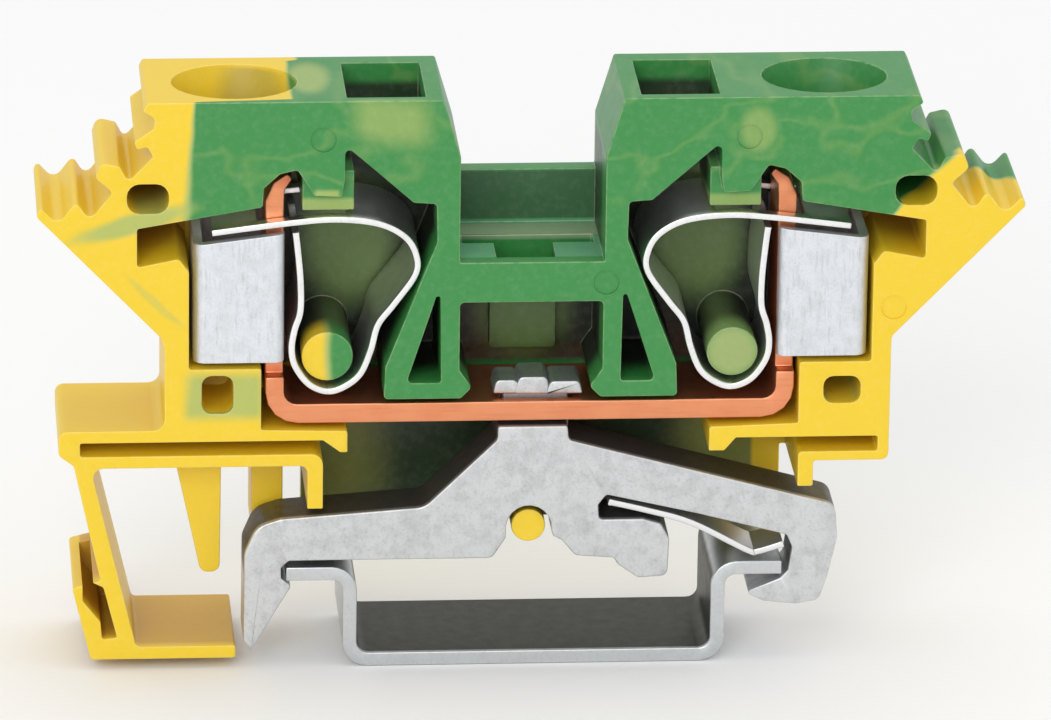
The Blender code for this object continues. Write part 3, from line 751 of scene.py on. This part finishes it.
def clamp_lines():
    """The left clamp spring's bow, from the arm's end to the loop's bottom, and its leg."""
    bend = ARM_TOP - ARM_DROP
    bow = [(-ARM_END_U, bend - ARM_SLOPE * (ARM_END_U - ARM_BEND_U)), (-ARM_BEND_U, bend),
           (-13.6, ARM_TOP), (-10.7, ARM_TOP - 0.35), (-8.9, 31.9), (-8.1, 30.6), (-8.1, 29.1),
           (-9.6, 26.9), (-10.7, 25.4), (-11.2, 23.5), (-11.9, 21.8), (-13.0, 20.85), LOOP_BOTTOM]
    leg = [(-15.5, 21.05), (LEG_U + 0.25, 22.4), (LEG_U, 23.7), (LEG_U + 0.2, 25.1),
           (LEG_U + 0.6, 26.5), (LEG_U + 0.6, 28.7), (LEG_U + 0.4, 31.0), (LEG_U + 0.25, LEG_END)]
    steps = 6
    whole = smooth_line(bow + leg, steps)
    middle = (len(bow) - 1) * steps
    return whole[: middle + 1], whole[middle:]


def strip_place(side, line, depth):
    """Points of a strip's line on one side of the block, in the frame's millimetres."""
    return [Vector((MIDDLE_X - side * point.x, FRONT_Y + depth, point.y)) for point in line]


def spring_strip(name, side, line, window):
    """One length of a clamp spring, with its window where it has one."""
    look = settings().spring
    near = BAR_LOW.y - FRONT_Y
    width = BAR_HIGH.y - BAR_LOW.y
    piece = bent_strip(name, strip_place(side, line, near), width)
    if window:
        edge = look.window_side / MM
        front, back = BAR_LOW.y + edge, BAR_HIGH.y - edge
        inner, outer = (MIDDLE_X + side * u for u in (WINDOW_IN, WINDOW_OUT))
        bpy.ops.object.mode_set(mode="EDIT")
        for y in (front, back):
            cut_across(piece, (0, y, 0), (0, 1, 0))
        for x in (inner, outer):
            cut_across(piece, (x, 0, 0), (1, 0, 0))

        def in_window(face):
            middle = face.calc_center_median() / MM
            return (middle.z > WINDOW_BOTTOM and front < middle.y < back
                    and min(inner, outer) < middle.x < max(inner, outer))

        choose(piece, "faces", in_window)
        bpy.ops.mesh.delete(type="FACE")
        bpy.ops.object.mode_set(mode="OBJECT")
    apply_modifier(piece, "SOLIDIFY", thickness=look.thickness, offset=0)
    point_out(piece)
    return piece


class BLOCK_OT_clamp_springs(bpy.types.Operator):
    """Makes the two clamp springs, each a leg that stays with the block and a bow, the part that
    bends open, left as a piece of its own
    """

    bl_idname = "block.clamp_springs"
    bl_label = "Clamp Springs"

    def execute(self, context):
        steel = metal("spring_steel", settings().metal.spring, mottle=0.12, streak=0.10,
                      stretch=(1, 0.15, 1), rough=0.22)
        bow_line, leg_line = clamp_lines()
        for side, end in ((-1, "left"), (1, "right")):
            node = f"{end}_clamp_spring"
            seam = Vector((MIDDLE_X - side * LOOP_BOTTOM[0], 0, LOOP_BOTTOM[1])) * MM
            leg = spring_strip(f"{end}_spring_leg", side, leg_line, False)
            bow = spring_strip(f"{end}_spring_bow", side, bow_line, True)
            for piece in (leg, bow):
                soften(piece, STRIP_EDGE * MM, STRIP_SHARP, seam)
                dress(piece, steel, node)
            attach(leg, "block")
            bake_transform(bow)
        return {"FINISHED"}


class BLOCK_OT_conductor_guides(bpy.types.Operator):
    """Makes the bent sheet sleeve that leads each wire to its clamp"""

    bl_idname = "block.conductor_guides"
    bl_label = "Conductor Guides"

    def execute(self, context):
        steel = metal("guide_steel", settings().metal.plated, mottle=0.16, streak=0.22,
                      stretch=(1.6, 1.6, 0.22), rough=0.42)
        for side, end in ((-1, "left"), (1, "right")):
            node = f"{end}_conductor_guide"
            low, high = (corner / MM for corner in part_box(node))
            front, back = low.y + GUIDE_SHEET / 2, high.y - GUIDE_SHEET / 2
            inner = MIDDLE_X + side * GUIDE_IN
            outer = MIDDLE_X + side * (GUIDE_OUT - GUIDE_SHEET / 2)
            plan = rounded_line([(inner, front), (outer, front), (outer, back), (inner, back)],
                                [GUIDE_BEND, GUIDE_BEND])
            line = [Vector((p.x, p.y, low.z)) for p in plan]
            piece = bent_strip(f"{end}_sleeve", line, high.z - low.z + 1, upright=True)
            bpy.ops.object.mode_set(mode="EDIT")
            cut_across(piece, (inner, 0, high.z), (ARM_SLOPE * side, 0, 1), clear_outer=True)
            bpy.ops.object.mode_set(mode="OBJECT")
            apply_modifier(piece, "SOLIDIFY", thickness=GUIDE_SHEET * MM, offset=0)
            point_out(piece)
            bpy.ops.object.mode_set(mode="EDIT")
            lip = Vector((inner, low.y, 0)) * MM

            def at_lip(edge):
                one, two = (v.co for v in edge.verts)
                upright = abs(one.x - two.x) < 1e-5 and abs(one.z - two.z) > MM
                return upright and abs(one.x - lip.x) < 1e-5 and abs(one.y - lip.y) < 1e-5

            choose(piece, "edges", at_lip)
            bpy.ops.mesh.bevel(offset=GUIDE_LIP * MM, segments=5, affect="EDGES")
            bpy.ops.object.mode_set(mode="OBJECT")
            soften(piece, GUIDE_EDGE * MM, GUIDE_SHARP)
            dress(piece, steel, node)
            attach(piece, "block")
        return {"FINISHED"}


class BLOCK_OT_ground_foot(bpy.types.Operator):
    """Makes the thick foot that grips the rail"""

    bl_idname = "block.ground_foot"
    bl_label = "Ground Foot"

    def execute(self, context):
        piece = merged_copy("ground_foot", "rail_foot")
        soften(piece, settings().metal.edge)
        steel = metal("foot_steel", settings().metal.zinc, mottle=0.30, streak=0.12,
                      stretch=(1, 1, 0.5), rough=0.40, painted_shade_at=painted_shade_foot)
        dress(piece, steel, "ground_foot")
        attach(piece, "block")
        return {"FINISHED"}


class BLOCK_OT_leaf_spring(bpy.types.Operator):
    """Makes the leaf spring in the foot's slot"""

    bl_idname = "block.leaf_spring"
    bl_label = "Leaf Spring"

    def execute(self, context):
        line = [Vector((p.x, LEAF_LOW.y, p.y)) for p in smooth_line(LEAF_LINE)]
        piece = bent_strip("leaf_spring", line, LEAF_HIGH.y - LEAF_LOW.y)
        apply_modifier(piece, "SOLIDIFY", thickness=settings().spring.leaf, offset=0)
        point_out(piece)
        soften(piece, STRIP_EDGE * MM, STRIP_SHARP)
        steel = bpy.data.materials["spring_steel"]  # the plain one that comes with the frame
        dress(piece, steel, "foot_leaf_spring")
        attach(piece, "leaf")
        return {"FINISHED"}


class BLOCK_OT_rail(bpy.types.Operator):
    """Makes the length of top-hat rail"""

    bl_idname = "block.rail"
    bl_label = "Rail"

    def execute(self, context):
        tip, top, bottom = RAIL_HIGH.x, RAIL_HIGH.z - RAIL_SHEET / 2, RAIL_SHEET / 2
        half = [(-tip, top), (-RAIL_WEB, top), (-RAIL_WEB, bottom)]
        corners = half + [(-x, z) for x, z in reversed(half)]
        line = [Vector((p.x, RAIL_LOW.y, p.y)) for p in rounded_line(corners, [RAIL_BEND] * 4)]
        piece = bent_strip("rail_length", line, RAIL_HIGH.y - RAIL_LOW.y)
        apply_modifier(piece, "SOLIDIFY", thickness=RAIL_SHEET * MM, offset=0)
        point_out(piece)
        soften(piece, RAIL_EDGE * MM, STRIP_SHARP)
        steel = metal("rail_steel", settings().metal.rail, mottle=0.14, streak=0.12,
                      stretch=(1, 0.2, 1), rough=0.30, painted_shade_at=painted_shade_rail)
        dress(piece, steel, "rail_section")
        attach(piece, "rail")
        return {"FINISHED"}


# ---- stage ---------------------------------------------------------------------


SOFTBOX_SIZE = 0.5
SOFTBOXES = (("front_softbox", (-0.25, -0.8, 0.45), 3.0), ("top_softbox", (0.15, 0.1, 0.8), 1.0))


def area_light(name, place, aim, power):
    bpy.ops.object.light_add(type="AREA", location=place)
    lamp = bpy.context.object
    lamp.name = name
    lamp.data.size = SOFTBOX_SIZE
    lamp.data.energy = power
    lamp.rotation_euler = (Vector(aim) - Vector(place)).to_track_quat("-Z", "Y").to_euler()


class BLOCK_OT_stage(bpy.types.Operator):
    """Sets the floor, the lights and the camera"""

    bl_idname = "block.stage"
    bl_label = "Stage"

    def execute(self, context):
        look = settings().stage
        bpy.ops.object.select_all(action="DESELECT")
        bpy.ops.mesh.primitive_grid_add(x_subdivisions=8, y_subdivisions=8, size=8,
                                        location=(0, 0, -0.00002))
        floor = bpy.context.object
        floor.name = "floor"
        g = Graph("pale_floor")
        tone = g.noise(0.02, 2)
        colour = g.mix(tone * 0.04, look.floor, (0.80, 0.80, 0.80))
        floor.data.materials.append(g.finish(0.0, base_color=colour, roughness=tone * 0.1 + 0.6))

        world = bpy.data.worlds.new("even_light")
        world.use_nodes = True
        world.node_tree.nodes["Background"].inputs["Color"].default_value = (1, 1, 1, 1)
        world.node_tree.nodes["Background"].inputs["Strength"].default_value = look.sky
        context.scene.world = world
        context.scene.view_settings.view_transform = "Standard"

        low, high = (Vector(corner) for corner in CAD_BOX)
        middle = (low + high) / 2
        for name, place, power in SOFTBOXES:
            area_light(name, place, middle, power)

        away = Vector((math.sin(look.azimuth) * math.cos(look.elevation),
                       -math.cos(look.azimuth) * math.cos(look.elevation),
                       math.sin(look.elevation)))
        aim = Vector((MIDDLE_X * MM, middle.y, middle.z))
        turn = (-away).to_track_quat("-Z", "Y") @ Quaternion((0, 0, 1), look.roll)
        bpy.ops.object.camera_add(location=aim + away * look.distance, rotation=turn.to_euler())
        camera = bpy.context.object
        camera.data.lens = camera.data.sensor_width * look.distance / look.view_width
        camera.data.clip_start = 0.01
        context.scene.camera = camera
        return {"FINISHED"}


PIECES = (
    BLOCK_OT_stage,
    BLOCK_OT_rail,
    BLOCK_OT_ground_foot,
    BLOCK_OT_clamp_springs,
    BLOCK_OT_leaf_spring,
    BLOCK_OT_conductor_guides,
    BLOCK_OT_current_bar,
    BLOCK_OT_housing,
)


class BLOCK_PT_panel(bpy.types.Panel):
    """Lists the pieces and the stage"""

    bl_idname = "BLOCK_PT_panel"
    bl_label = "Terminal Block"
    bl_space_type = "VIEW_3D"
    bl_region_type = "UI"
    bl_category = "Terminal Block"

    def draw(self, context):
        for piece in PIECES:
            self.layout.operator(piece.bl_idname)


CLASSES = (HousingSettings, MetalSettings, SpringSettings, StageSettings, BlockSettings,
           *PIECES, BLOCK_PT_panel)


def register():
    for cls in CLASSES:
        bpy.utils.register_class(cls)
    bpy.types.Scene.terminal_block = PointerProperty(type=BlockSettings)


def unregister():
    del bpy.types.Scene.terminal_block
    for cls in reversed(CLASSES):
        bpy.utils.unregister_class(cls)


def main():
    register()
    for piece in PIECES:
        group, name = piece.bl_idname.split(".")
        getattr(getattr(bpy.ops, group), name)()


if __name__ == "__main__":
    main()
